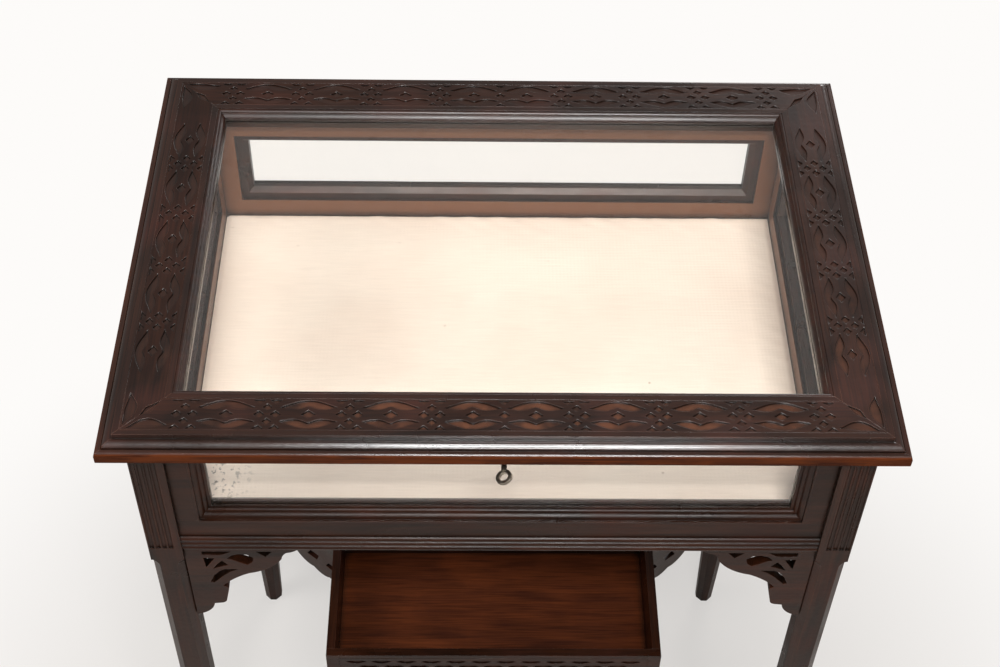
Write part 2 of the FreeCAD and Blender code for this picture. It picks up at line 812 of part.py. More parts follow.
def make_lid():
    """Four mitred members, the moulding over the glass, the glass, and the bead under it."""
    front = make_moulded_member("lid_front", NOTHING, LID_FRONT, 0, lid_length)
    keep(cut("lid_front", front, [striker_recess()]), "lid_front")
    for label, side, turn in (("lid_left", -1, -90), ("lid_right", 1, 90)):
        edge = lid_length * (side / 2)
        keep(make_moulded_member(label, edge, LID_MIDDLE, turn, lid_depth), label)
    back = make_moulded_member("lid_back", NOTHING, LID_BACK, 180, lid_length)
    keep(cut("lid_back", back, lid_hinge_recesses()), "lid_back")
    hollow_foot = glazing_width * 0.5
    rise = lid_glass_depth / 8
    moulding = [
        (NOTHING, LID_GLASS_TOP),
        (glazing_width, LID_GLASS_TOP),
        (glazing_width, LID_GLASS_TOP + rise, lid_glass_depth * 0.62, 1),
        (hollow_foot, lid_thickness - rise * 2.6),
        (hollow_foot, lid_thickness - rise * 2.1, glazing_width * 0.34, 1),
        (NOTHING, lid_thickness - rise * 0.5),
    ]
    ring("lid_glazing_moulding", LID_OPENING_X, LID_OPENING_Y, moulding)
    splay = glazing_width * 0.25
    bead = [
        (NOTHING, lid_gap),
        (glazing_width - splay, lid_gap),
        (glazing_width, lid_gap + splay),
        (glazing_width, LID_GLASS_UNDER),
        (NOTHING, LID_GLASS_UNDER),
    ]
    ring("lid_retaining_bead", LID_OPENING_X, LID_OPENING_Y, bead)
    wide = (LID_OPENING_X - lid_glass_gap) * 2
    deep = (LID_OPENING_Y - lid_glass_gap) * 2
    low_y = LID_FRAME_FRONT + lid_glass_gap
    z = LID_UNDER + LID_GLASS_UNDER
    keep(block("lid_pane", -wide / 2, low_y, z, wide, deep, lid_glass_thickness), "lid_glass")


# ---------------------------------------------------------------- hinges

def hinge_start(side):
    """The low end of the hinge on one side, set in from the leg."""
    middle = INNER_LENGTH / 2 - hinge_inset - hinge_length / 2
    return middle * side - hinge_length / 2


def leaf_mortise(side):
    """Where a case leaf is let into the back rail's top edge."""
    x = hinge_start(side)
    depth = leaf_thickness + OVERCUT
    return block("leaf_mortise", x, CASE_BACK - leaf_width, CASE_TOP - leaf_thickness,
                 hinge_length, leaf_width, depth)


def lid_hinge_recesses():
    """Where the lid leaves and the knuckles are let into the lid's underside."""
    tools = []
    clear = knuckle_radius + knuckle_gap
    for side in (-1, 1):
        x = hinge_start(side)
        leaf = block("lid_leaf_mortise", x, CASE_BACK - leaf_width, LID_UNDER - OVERCUT,
                     hinge_length, leaf_width, leaf_thickness + OVERCUT)
        top = PIN_HEIGHT + clear
        knuckles = block("knuckle_recess", x - knuckle_gap, CASE_BACK - clear, LID_UNDER - OVERCUT,
                         hinge_length + knuckle_gap * 2, clear * 2, top - LID_UNDER + OVERCUT)
        tools += [leaf, knuckles]
    return tools


def make_leaf(label, start, knuckles, z, with_pin):
    """One leaf of a butt hinge: a plate, and its share of the three knuckles round the pin."""
    clear = knuckle_radius + knuckle_gap
    plate = block("plate", start, CASE_BACK - leaf_width, z, hinge_length, leaf_width - clear, leaf_thickness)
    parts = [plate]
    for first, length in knuckles:
        parts.append(block("neck", start + first, CASE_BACK - clear, z, length, clear, leaf_thickness))
    barrels = []
    for first, length in knuckles:
        barrels.append(rod("barrel", start + first, CASE_BACK, PIN_HEIGHT, knuckle_radius, length, (1, 0, 0)))
    solid = join(f"{label}_solid", parts + barrels)
    if with_pin:
        pin = rod("pin", start, CASE_BACK, PIN_HEIGHT, pin_radius, hinge_length, (1, 0, 0))
        solid = join(f"{label}_with_pin", [solid, pin])
    else:
        hole = rod("pin_hole", start, CASE_BACK, PIN_HEIGHT, pin_radius + pin_play, hinge_length, (1, 0, 0))
        solid = cut(f"{label}_bored", solid, [hole])
    keep(solid, label)


def make_hinges():
    """Two butt hinges, each a case leaf with the pin and a lid leaf that turns on it."""
    share = hinge_length / 3
    outer = [(NOTHING, share), (share * 2, share)]
    middle = [(share + knuckle_gap, share - knuckle_gap * 2)]
    for name, side in (("left", -1), ("right", 1)):
        start = hinge_start(side)
        make_leaf(f"hinge_{name}_case_leaf", start, outer, CASE_TOP - leaf_thickness, True)
        make_leaf(f"hinge_{name}_lid_leaf", start, middle, LID_UNDER, False)


# ---------------------------------------------------------------- lock

LOCK_BACK = CASE_FRONT + leg_width
LOCK_FRONT = LOCK_BACK - lock_depth
LOCK_BOTTOM = CASE_TOP - lock_height
KEY_HEIGHT = CASE_TOP - key_drop
RAIL_FACE = CASE_FRONT + rail_setback


def keyhole(start, length):
    """The round hole for the shank and the slot for the bit, along Y."""
    slot_width = bit_width + key_play
    slot_drop = bit_length + key_play
    hole = rod("keyhole_round", NOTHING, start, KEY_HEIGHT, key_radius + key_play, length, (0, 1, 0))
    slot = block("keyhole_slot", -slot_width / 2, start, KEY_HEIGHT - slot_drop, slot_width, length, slot_drop)
    return [hole, slot]


def lock_mortise():
    """What is cut from the front rail: the lock's seat at the back and the keyhole."""
    seat = block("lock_seat", -lock_length / 2, LOCK_FRONT, LOCK_BOTTOM,
                 lock_length, lock_depth + OVERCUT, lock_height + OVERCUT)
    return [seat] + keyhole(RAIL_FACE - OVERCUT, LOCK_FRONT - RAIL_FACE + OVERCUT * 2)


def make_lock_body():
    """A hollow brass box with two slots in its top for the staples and a keyhole in its front."""
    shell = block("lock_shell", -lock_length / 2, LOCK_FRONT, LOCK_BOTTOM, lock_length, lock_depth, lock_height)
    hollow = block("lock_hollow", -lock_length / 2 + lock_wall, LOCK_FRONT + lock_wall, LOCK_BOTTOM + lock_wall,
                   lock_length - lock_wall * 2, lock_depth - lock_wall * 2, lock_height - lock_wall * 2)
    tools = [hollow]
    slot_x = STAPLE_THICKNESS + key_play * 2
    slot_y = STAPLE_WIDTH + key_play * 1.5
    for side in (-1, 1):
        x = staple_spacing * (side / 2) - slot_x / 2
        tools.append(block("staple_slot", x, LOCK_MIDDLE - slot_y / 2, CASE_TOP - lock_wall - OVERCUT,
                           slot_x, slot_y, lock_wall + OVERCUT * 2))
    tools += keyhole(LOCK_FRONT - OVERCUT, lock_wall + OVERCUT * 2)
    keep(cut("lock_body", shell, tools), "lock_body")


LOCK_MIDDLE = LOCK_FRONT + lock_depth / 2
STAPLE_THICKNESS = lock_wall * 1.2
STAPLE_WIDTH = lock_wall * 2.8
FINGER_SIZE = lock_wall * 1.2
FINGER_MIDDLE = LID_UNDER - staple_drop * 0.62


def striker_recess():
    """Where the striker plate is let into the lid's front member."""
    length = staple_spacing * 2
    return block("striker_recess", -length / 2, LOCK_MIDDLE - lock_depth / 2, LID_UNDER - OVERCUT,
                 length, lock_depth, leaf_thickness + OVERCUT)


def make_striker():
    """A plate under the lid with two eyed staples that hang into the lock."""
    length = staple_spacing * 2
    plate = block("striker_plate_bar", -length / 2, LOCK_MIDDLE - lock_depth / 2, LID_UNDER,
                  length, lock_depth, leaf_thickness)
    parts = [plate]
    eyes = []
    hole = FINGER_SIZE + key_play * 1.2
    for side in (-1, 1):
        x = staple_spacing * (side / 2) - STAPLE_THICKNESS / 2
        parts.append(block("staple", x, LOCK_MIDDLE - STAPLE_WIDTH / 2, LID_UNDER - staple_drop,
                           STAPLE_THICKNESS, STAPLE_WIDTH, staple_drop + leaf_thickness / 2))
        eyes.append(block("staple_eye", x - OVERCUT, LOCK_MIDDLE - hole / 2, FINGER_MIDDLE - hole / 2,
                          STAPLE_THICKNESS + OVERCUT * 2, hole, hole))
    keep(cut("striker_plate", join("striker_solid", parts), eyes), "striker_plate")


def make_bolt():
    """The sliding bolt, drawn back: a bar with two upright arms, each with a finger for a staple.

    Below the bar hang two talons; the key's bit turns up between them and carries the bolt along.
    """
    bar_top = LID_UNDER - staple_drop - key_play
    bar_height = lock_wall * 1.2
    tip = -STAPLE_THICKNESS / 2 - key_play
    finger = bolt_throw + lock_wall
    arm = lock_wall
    y = LOCK_MIDDLE - FINGER_SIZE / 2
    low = tip - finger - staple_spacing / 2 - arm
    bar_length = staple_spacing + arm + finger
    parts = [block("bolt_bar", low, y, bar_top - bar_height, bar_length, FINGER_SIZE, bar_height)]
    for side in (-1, 1):
        end = staple_spacing * (side / 2) + tip
        root = end - finger - arm
        parts.append(block("bolt_arm", root, y, bar_top - bar_height, arm, FINGER_SIZE,
                           FINGER_MIDDLE + FINGER_SIZE / 2 - bar_top + bar_height))
        parts.append(block("bolt_finger", root, y, FINGER_MIDDLE - FINGER_SIZE / 2,
                           finger + arm, FINGER_SIZE, FINGER_SIZE))
    lug = lock_wall
    notch = bit_length * 2 - bit_width * 1.5
    middle = -bolt_throw / 2
    lug_low = KEY_HEIGHT + bit_length * 0.72
    lug_height = bar_top - bar_height / 2 - lug_low
    for x in (middle - notch / 2 - lug, middle + notch / 2):
        parts.append(block("bolt_talon", x, y, lug_low, lug, FINGER_SIZE, lug_height))
    keep(join("bolt_solid", parts), "lock_bolt")


def make_escutcheon():
    """A small pointed plate round the keyhole, planted on the rail."""
    half = escutcheon_width / 2
    tall = escutcheon_height / 2
    body = new_body("escutcheon_body", NOTHING, RAIL_FACE, KEY_HEIGHT - key_play / 2)
    outline = [
        (NOTHING, tall),
        (-half, tall / 2),
        (-half, -tall / 2),
        (NOTHING, -tall),
        (half, -tall / 2),
        (half, tall / 2),
    ]
    pad(body, sketch(body, "outline", "XZ_Plane", [outline]), ESCUTCHEON_THICKNESS)
    tools = keyhole(RAIL_FACE - ESCUTCHEON_THICKNESS - OVERCUT, ESCUTCHEON_THICKNESS + OVERCUT * 2)
    keep(cut("escutcheon", body, tools), "escutcheon")


ESCUTCHEON_THICKNESS = lock_wall * 0.6


# how far the key is turned past level, in degrees
BOW_TILT = -22


def oval(inset):
    """The bow's outline, or one inside it: two wide arcs and two narrow ones, tangent to each other."""
    half = bow_width / 2 - inset
    reach = bow_length / 2 - inset
    nose = bow_width * 0.42 - inset
    run = reach - nose
    flank = (half * half + run * run - nose * nose) / ((half - nose) * 2)
    span = flank - nose
    x = (flank - half) * nose / span
    y = flank * run / span
    return [(x, -y, flank, 1), (x, y, nose, 1), (-x, y, flank, 1), (-x, -y, nose, 1)]


def make_key():
    """A small key turned nearly level: an oval bow, the shank and the bit inside the lock."""
    bow_y = LID_FRONT - key_reach + bow_length / 2
    bow = new_body("key_bow", NOTHING, bow_y, KEY_HEIGHT)
    ovals = [oval(NOTHING), oval(bow_wire)]
    pad(bow, sketch(bow, "oval", "XY_Plane", ovals), bow_wire, both=True)
    bow.Placement.Rotation = FreeCAD.Rotation(FreeCAD.Vector(0, 1, 0), BOW_TILT)
    shank_start = bow_y + bow_length / 2 - bow_wire / 2
    shank_end = LOCK_BACK - lock_wall - key_play
    shank = rod("key_shank", NOTHING, shank_start, KEY_HEIGHT, key_radius, shank_end - shank_start, (0, 1, 0))
    bit_depth = lock_wall * 2
    bit = block("key_bit", -bit_length, shank_end - bit_depth, KEY_HEIGHT - bit_width / 2,
                bit_length, bit_depth, bit_width)
    keep(join("key_solid", [bow, shank, bit]), "key")


# ---------------------------------------------------------------- tray and its boards

TRAY_HALF_X = INNER_LENGTH / 2 - tray_margin
TRAY_HALF_Y = INNER_DEPTH / 2 - tray_margin
TRAY_BOTTOM = tray_top - tray_height


def tray_channel(name, turn, reach, length):
    """The shallow panel in the outer face of a tray wall, in which the fret lies."""
    panel = DOC.addObject("Part::Box", f"tray_fret_{name}")
    bind(panel, "Length", length - tray_fret_end * 2)
    bind(panel, "Width", fret_depth + OVERCUT)
    bind(panel, "Height", tray_height - fret_margin * 2)
    place_on_side(panel, turn, reach + OVERCUT, tray_fret_end - length / 2, TRAY_BOTTOM + fret_margin)
    return panel


def make_tray():
    """An open tray: long walls over the ends of the short ones, and a floor let into all four."""
    low_y = CASE_MIDDLE - TRAY_HALF_Y
    high_y = CASE_MIDDLE + TRAY_HALF_Y
    length = TRAY_HALF_X * 2
    inner = (TRAY_HALF_Y - tray_wall) * 2
    reach = tray_wall - tray_groove
    floor = block("tray_floor_board", -TRAY_HALF_X + reach, low_y + reach, TRAY_BOTTOM + tray_floor_lift,
                  (TRAY_HALF_X - reach) * 2, (TRAY_HALF_Y - reach) * 2, tray_floor)
    for name, turn, y in (("front", 0, low_y), ("back", 180, high_y - tray_wall)):
        label = f"tray_wall_{name}"
        wall = block(f"{label}_board", -TRAY_HALF_X, y, TRAY_BOTTOM, length, tray_wall, tray_height)
        keep(cut(label, wall, [floor, tray_channel(name, turn, TRAY_HALF_Y, length)]), label)
    for name, turn, x in (("left", -90, -TRAY_HALF_X), ("right", 90, TRAY_HALF_X - tray_wall)):
        label = f"tray_wall_{name}"
        wall = block(f"{label}_board", x, low_y + tray_wall, TRAY_BOTTOM, tray_wall, inner, tray_height)
        keep(cut(label, wall, [floor, tray_channel(name, turn, TRAY_HALF_X, TRAY_HALF_Y * 2)]), label)
    keep(floor, "tray_floor")


def board_outline():
    """A diagonal board from the leg's chamfer to its end under the tray, seen from the side.

    Its lower edge falls in a hollow from the leg to three lobes and a spur, then rises to the tray.
    """
    start = corner_chamfer / -math.sqrt(2)
    corner = tray_margin * math.sqrt(2)
    end = corner + board_under_tray
    along = tray_margin / 80
    top = TRAY_BOTTOM
    down = board_height / -76.5
    return [
        (start, top),
        (start, top + down * 50, along * 90, -1),
        (along * 38, top + down * 65, along * 26, 1),
        (along * 71, top + down * 72, along * 26, 1),
        (along * 97, top + down * 66, along * 22, 1),
        (along * 118, top + down * 58, along * 40, -1),
        (corner + board_under_tray * 0.6, top + down * 24, along * 36, 1),
        (end, top),
    ]


def board_piercings():
    """Four leaf-shaped openings that follow the board's lower edge."""
    along = tray_margin / 80
    top = TRAY_BOTTOM
    down = board_height / -76.5
    leaves = (
        ((10, 33), (16, 26), (29, 24), (24, 32)),
        ((35, 47), (42, 38), (55, 38), (49, 48)),
        ((62, 56), (68, 44), (82, 41), (78, 52)),
        ((92, 48), (97, 39), (110, 35), (107, 46)),
    )
    return [[(along * x, top + down * y) for x, y in corners] for corners in leaves]


def make_boards():
    """Four pierced boards, each from a leg's inner chamfer to the tray's corner and on beneath it."""
    x = INNER_LENGTH / 2
    y = INNER_DEPTH / 2
    places = (
        ("front_left", -x, CASE_MIDDLE - y, 45),
        ("front_right", x, CASE_MIDDLE - y, 135),
        ("back_right", x, CASE_MIDDLE + y, -135),
        ("back_left", -x, CASE_MIDDLE + y, -45),
    )
    for name, corner_x, corner_y, turn in places:
        label = f"diagonal_board_{name}"
        body = new_body(f"{label}_body", corner_x, corner_y, NOTHING, turn)
        outlines = [board_outline()] + board_piercings()
        pad(body, sketch(body, "outline", "XZ_Plane", outlines), board_thickness, both=True)
        keep(body, label)


# ---------------------------------------------------------------- build, check and write

def check():
    """Stops if any object failed or any sub-part is empty or invalid."""
    for thing in DOC.Objects:
        bad = [state for state in thing.State if state in ("Invalid", "Error")]
        if bad:
            raise RuntimeError(f"{thing.Name} failed: {thing.State}")
    for node in NODES:
        if node.Shape.isNull() or not node.Shape.isValid():
            raise RuntimeError(f"{node.Label} has no valid shape")


def write():
    """Writes each sub-part to its own file."""
    os.makedirs("parts", exist_ok=True)
    for node in NODES:
        node.Shape.exportStep(f"parts/{node.Label}.step")


make_legs()
make_case()
make_lid()
make_hinges()
make_lock_body()
make_striker()
make_bolt()
make_escutcheon()
make_key()
make_tray()
make_boards()
DOC.recompute()
check()
write()
print(len(NODES), "sub-parts written")
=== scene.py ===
"""A collectors display table: materials, blind fret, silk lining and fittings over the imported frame.

Metres, in the frame's own axes: X along the table, Y from the keyhole to the hinges, Z up.
"""

import math

import bmesh
import bpy
from mathutils import Matrix, Vector, noise


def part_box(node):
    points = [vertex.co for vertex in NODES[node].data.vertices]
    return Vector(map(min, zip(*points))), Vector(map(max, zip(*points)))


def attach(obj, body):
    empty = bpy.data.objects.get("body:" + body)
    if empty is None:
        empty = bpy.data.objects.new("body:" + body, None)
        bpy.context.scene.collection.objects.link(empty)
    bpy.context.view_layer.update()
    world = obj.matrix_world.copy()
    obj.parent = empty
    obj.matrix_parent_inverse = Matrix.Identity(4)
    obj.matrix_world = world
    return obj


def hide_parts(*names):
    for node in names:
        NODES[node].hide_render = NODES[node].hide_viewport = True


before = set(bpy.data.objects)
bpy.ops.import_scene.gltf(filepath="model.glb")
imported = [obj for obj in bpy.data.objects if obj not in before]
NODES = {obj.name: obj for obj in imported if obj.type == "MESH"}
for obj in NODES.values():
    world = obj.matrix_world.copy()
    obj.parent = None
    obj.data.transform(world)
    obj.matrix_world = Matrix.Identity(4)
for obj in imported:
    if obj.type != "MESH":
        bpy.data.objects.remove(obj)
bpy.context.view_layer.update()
MM = 0.001
QUARTER_TURN = math.pi / 2

# each side, with the turn about Z in degrees that brings what is drawn along the front round to it
SIDES = {"front": 0, "right": 90, "back": 180, "left": -90}
CORNERS = ("front_left", "front_right", "back_right", "back_left")

# the lid's underside and its top
LID_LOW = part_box("lid_front")[0].z
LID_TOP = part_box("lid_front")[1].z
# the lowest and highest corners of the lining, which fills the well of the case
LINING_LOW, LINING_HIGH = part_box("lining")


# ---------------------------------------------------------------- small helpers

def linear(code):
    """A hex colour such as 2c201e as linear red, green, blue and alpha."""
    parts = [int(code[start:start + 2], 16) / 255 for start in (0, 2, 4)]
    return [c / 12.92 if c <= 0.04045 else ((c + 0.055) / 1.055) ** 2.4 for c in parts] + [1.0]


def add(tree, kind, inputs=None, **settings):
    """Adds a node with its settings and inputs: values, sockets, or nodes, whose first output is linked."""
    made = tree.nodes.new(kind)
    for name, value in settings.items():
        setattr(made, name, value)
    for name, value in (inputs or {}).items():
        if isinstance(value, bpy.types.Node):
            value = value.outputs[0]
        if isinstance(value, bpy.types.NodeSocket):
            tree.links.new(value, made.inputs[name])
        else:
            made.inputs[name].default_value = value
    return made


def new_material(name):
    """An empty material with an output node: (material, tree, output)."""
    material = bpy.data.materials.new(name)
    material.use_nodes = True
    material.node_tree.nodes.clear()
    output = add(material.node_tree, "ShaderNodeOutputMaterial")
    return material, material.node_tree, output


def paint(names, material):
    """Gives a material to CAD nodes by name."""
    for name in names:
        for material_slot in NODES[name].material_slots:
            material_slot.material = material


def ends(start, *others):
    """Names made from a start and each of the endings."""
    return [f"{start}{other}" for other in others]


def mesh_from(name, work):
    """Turns a bmesh into a mesh and lets the bmesh go."""
    mesh = bpy.data.meshes.new(name)
    work.to_mesh(mesh)
    work.free()
    return mesh


def shown(name, mesh, material):
    """An object with one mesh and one material, at the origin of the scene."""
    mesh.name = name
    mesh.materials.clear()
    mesh.materials.append(material)
    piece = bpy.data.objects.new(name, mesh)
    bpy.context.scene.collection.objects.link(piece)
    return piece


def verts_of(geometry):
    """The vertices among what a bmesh operator made."""
    return [part for part in geometry if isinstance(part, bmesh.types.BMVert)]


# ---------------------------------------------------------------- mahogany

# how far the painted corner shade reaches out of a corner, and how round a hand-planed edge is
CORNER_SHADE_REACH = 9 * MM
EASED_EDGE = 0.6 * MM
# the top of the lid's lip, the ground that its fret lies on, and the middle of the painted pool of light and
# wear on that ground near its front
LIP_TOP = LID_LOW + 9.6 * MM
FRET_GROUND = LID_TOP - 1.2 * MM
LIT_AND_WORN_MIDDLE = (0.03, -0.17, 0.758)


def grown(tree, along, size, detail, rough=0.5, warp=0.0):
    """Noise drawn out along the grain; its size is the length, width and depth of one bump in mm."""
    scale = [1 / (extent * MM) for extent in size]
    drawn_out = add(tree, "ShaderNodeMapping", {"Vector": along, "Scale": scale})
    return add(tree, "ShaderNodeTexNoise", {"Vector": drawn_out, "Scale": 1.0, "Detail": detail,
                                            "Roughness": rough, "Distortion": warp})


def masked(tree, limits, amount):
    """An amount, times one ramp for each value and the two readings at which it gives nothing and all."""
    for value, nothing, everything in limits:
        reached = add(tree, "ShaderNodeMapRange", {"Value": value, "From Min": nothing,
                                                   "From Max": everything})
        amount = add(tree, "ShaderNodeMath", {0: amount, 1: reached}, operation="MULTIPLY")
    return amount


def painted_bounce_inside(tree, place, tone):
    """Lays painted bounce light from the silk, a lighter, browner tone, on the case's inner faces over a
    tone, from the floor up.
    """
    axes = add(tree, "ShaderNodeSeparateXYZ", {"Vector": place}).outputs
    skin = 0.6 * MM
    limits = [(axes["Z"], LINING_LOW.z - 1.0 * MM, LINING_LOW.z)]
    for axis, low, high in zip("XY", LINING_LOW, LINING_HIGH):
        limits.append((axes[axis], low - skin * 2, low - skin))
        limits.append((axes[axis], high + skin * 2, high + skin))
    inside = masked(tree, limits, 0.85)
    # painted bounce light from the silk lining: a lighter, browner tone on the inner faces
    return add(tree, "ShaderNodeMix", {0: inside, 6: tone, 7: linear("734c34")}, data_type="RGBA").outputs[2]


def lid_wear_and_painted_light(tree, place, along, nook, tone):
    """Lays a redder lip, and a fret ground with painted light and wear, over a lid's tone: (tone, where the
    lip is).
    """
    height = add(tree, "ShaderNodeSeparateXYZ", {"Vector": place}).outputs["Z"]
    # the lower lip, worn back to redder wood in flames about 3 mm wide
    flame = grown(tree, along, (45.455, 3.3333, 3.3333), 4.0, 0.6, 0.8)
    flamed = add(tree, "ShaderNodeMapRange", {"Value": flame, "From Min": 0.35, "From Max": 0.65})
    worn = add(tree, "ShaderNodeMix", {0: flamed, 6: linear("2e1308"), 7: linear("52260e")}, data_type="RGBA")
    lip = add(tree, "ShaderNodeMapRange", {"Value": height, "From Min": LIP_TOP + 1.0 * MM,
                                           "From Max": LIP_TOP})
    tone = add(tree, "ShaderNodeMix", {0: lip, 6: tone, 7: worn.outputs[2]}, data_type="RGBA").outputs[2]
    # the fret's ground painted warmer and lighter where it lies open near the front middle, in patches: a
    # painted pool of light, together with rubbed wear
    from_lit_middle = add(tree, "ShaderNodeVectorMath", {0: place, 1: LIT_AND_WORN_MIDDLE}, operation="DISTANCE")
    lit_and_worn = add(tree, "ShaderNodeMapRange", {"Value": from_lit_middle.outputs["Value"], "From Min": 0.1,
                                               "From Max": 0.3, "To Min": 0.75, "To Max": 0.06})
    rub = grown(tree, along, (16.667, 16.667, 5), 2.0)
    rubbed = masked(tree, [(height, FRET_GROUND + 0.5 * MM, FRET_GROUND + 0.2 * MM),
                           (height, FRET_GROUND - 0.4 * MM, FRET_GROUND - 0.1 * MM),
                           (nook, 0.66, 0.95), (rub, 0.3, 0.6)], lit_and_worn)
    # the warmer ground colour is painted light, together with wear
    tone = add(tree, "ShaderNodeMix", {0: rubbed, 6: tone, 7: linear("663d28")}, data_type="RGBA").outputs[2]
    return tone, lip


def mahogany(name, turn, body="190a04", light="33180b", red="3a1509", gloss=0.3, shine=0.2, coat=0.0,
             corner_shade_start=0.78, lid=False, case=False):
    """Old mahogany, stained dark and French polished by hand.

    The stain hides most of the figure, so the eye sees long dark streaks, a redder tone where the stain
    has thinned, rubbed edges, painted shade darkening every corner, and a soft uneven gloss. turn lays
    the grain along the board. A lid member also has a redder lower lip and a ground below its fret with a
    painted pool of light and some wear; the case's inner faces carry painted bounce light from the silk.
    """
    material, tree, output = new_material(name)
    place = add(tree, "ShaderNodeTexCoord").outputs["Object"]
    along = add(tree, "ShaderNodeMapping", {"Vector": place, "Rotation": turn})

    # bands of figure about 12 mm wide and ten times as long
    figure = grown(tree, along, (125, 11.765, 11.765), 5.0, 0.6, 0.6)
    banded = add(tree, "ShaderNodeMapRange", {"Value": figure, "From Min": 0.35, "From Max": 0.72})
    tone = add(tree, "ShaderNodeMix", {0: banded, 6: linear(body), 7: linear(light)},
               data_type="RGBA").outputs[2]
    # patches where the stain has thinned, about 60 mm across
    patch = add(tree, "ShaderNodeTexNoise", {"Vector": place, "Scale": 1 / (58.824 * MM), "Detail": 3.0})
    thinned = add(tree, "ShaderNodeMapRange", {"Value": patch, "From Min": 0.5, "From Max": 0.75,
                                               "To Max": 0.5})
    tone = add(tree, "ShaderNodeMix", {0: thinned, 6: tone, 7: linear(red)}, data_type="RGBA").outputs[2]
    # fine streaks about 1.4 mm wide and 40 mm long
    streak = grown(tree, along, (40, 1.4286, 1.4286), 3.0)
    streaked = add(tree, "ShaderNodeMapRange", {"Value": streak, "From Min": 0.3, "From Max": 0.62,
                                                "To Min": 0.62, "To Max": 1.15})
    tone = add(tree, "ShaderNodeVectorMath", {0: tone, 1: streaked}, operation="MULTIPLY")

    nook = add(tree, "ShaderNodeAmbientOcclusion", {"Distance": CORNER_SHADE_REACH}, samples=6).outputs["AO"]
    # the inner faces of the case get painted bounce light
    if case:
        tone = painted_bounce_inside(tree, place, tone)
    # a lid gets a redder worn lip, and painted light with wear on its fret's ground
    if lid:
        tone, lip = lid_wear_and_painted_light(tree, place, along, nook, tone)

    # the rounded edge of a hand-planed board; the stain is rubbed off along it in patches
    eased = add(tree, "ShaderNodeBevel", {"Radius": EASED_EDGE}, samples=4)
    face = add(tree, "ShaderNodeNewGeometry").outputs["Normal"]
    facing = add(tree, "ShaderNodeVectorMath", {0: eased, 1: face}, operation="DOT_PRODUCT").outputs["Value"]
    rubbed = masked(tree, [(facing, 0.99, 0.88), (patch, 0.4, 0.65), (nook, 0.6, 0.9)], 0.7)
    tone = add(tree, "ShaderNodeMix", {0: rubbed, 6: tone, 7: linear("6e4330")}, data_type="RGBA").outputs[2]
    # painted shade: the wood darkened towards black where corners and recesses close round it
    painted_corner_shade = add(tree, "ShaderNodeMapRange", {"Value": nook, "From Min": corner_shade_start, "From Max": 0.35,
                                             "To Max": 0.88})
    tone = add(tree, "ShaderNodeMix", {0: painted_corner_shade, 6: tone, 7: linear("0b0906")}, data_type="RGBA").outputs[2]

    # a hand-scraped surface, uneven about every 4.5 mm, which bends what it reflects
    uneven = add(tree, "ShaderNodeTexNoise", {"Vector": place, "Scale": 1 / (4.5455 * MM), "Detail": 2.0})
    ripples = add(tree, "ShaderNodeBump", {"Height": uneven, "Distance": 0.1 * MM, "Normal": eased})
    # pores, short open lines 0.3 mm wide and 5 mm long
    pore = grown(tree, along, (5, 0.30303, 0.30303), 2.0)
    pored = add(tree, "ShaderNodeBump", {"Height": pore, "Distance": 0.04 * MM, "Normal": ripples})
    polish = add(tree, "ShaderNodeMapRange", {"Value": patch, "From Min": 0.3, "From Max": 0.7,
                                              "To Min": gloss - 0.06, "To Max": gloss + 0.1})
    surface = add(tree, "ShaderNodeBsdfPrincipled", {
        "Base Color": tone, "Roughness": polish, "Normal": pored, "Specular IOR Level": shine,
        "Coat Weight": coat, "Coat Roughness": 0.16})
    if lid:
        # no polish is left on the lip
        bare = add(tree, "ShaderNodeBsdfPrincipled", {"Base Color": tone, "Roughness": 0.6, "Normal": pored,
                                                      "Specular IOR Level": 0.06})
        surface = add(tree, "ShaderNodeMixShader", {0: lip, 1: surface, 2: bare})
    tree.links.new(surface.outputs[0], output.inputs[0])
    return material


# turns that lay the grain along X, along Y and upright
LENGTHWISE = (0, 0, 0)
CROSSWISE = (0, 0, QUARTER_TURN)
UPRIGHT = (0, QUARTER_TURN, 0)
LID_FINISH = {"body": "190a05", "light": "2f170c", "red": "3c160b", "gloss": 0.26, "shine": 0.5, "coat": 1.0}
FRET_FINISH = {**LID_FINISH, "gloss": 0.36, "coat": 0.2}
TRAY_FINISH = {"body": "3c1c0f", "light": "562a14", "red": "643014", "gloss": 0.4, "shine": 0.1}

ALONG_X = mahogany("polished_mahogany_lengthwise", LENGTHWISE, case=True)
ALONG_Y = mahogany("polished_mahogany_crosswise", CROSSWISE, case=True)
ALONG_Z = mahogany("polished_mahogany_upright", UPRIGHT, corner_shade_start=0.94)
RISING = mahogany("polished_mahogany_diagonal", (0, 0, -QUARTER_TURN / 2))
FALLING = mahogany("polished_mahogany_other_diagonal", (0, 0, QUARTER_TURN / 2))
LID_LENGTHWISE = mahogany("polished_mahogany_lid_lengthwise", LENGTHWISE, lid=True, **LID_FINISH)
LID_CROSSWISE = mahogany("polished_mahogany_lid_crosswise", CROSSWISE, lid=True, **LID_FINISH)
FRET_LENGTHWISE = mahogany("polished_mahogany_fret_lengthwise", LENGTHWISE, **FRET_FINISH)
FRET_CROSSWISE = mahogany("polished_mahogany_fret_crosswise", CROSSWISE, **FRET_FINISH)
TRAY_WOOD = mahogany("waxed_mahogany_tray_floor", LENGTHWISE, **TRAY_FINISH)


# ---------------------------------------------------------------- glass, metal and silk

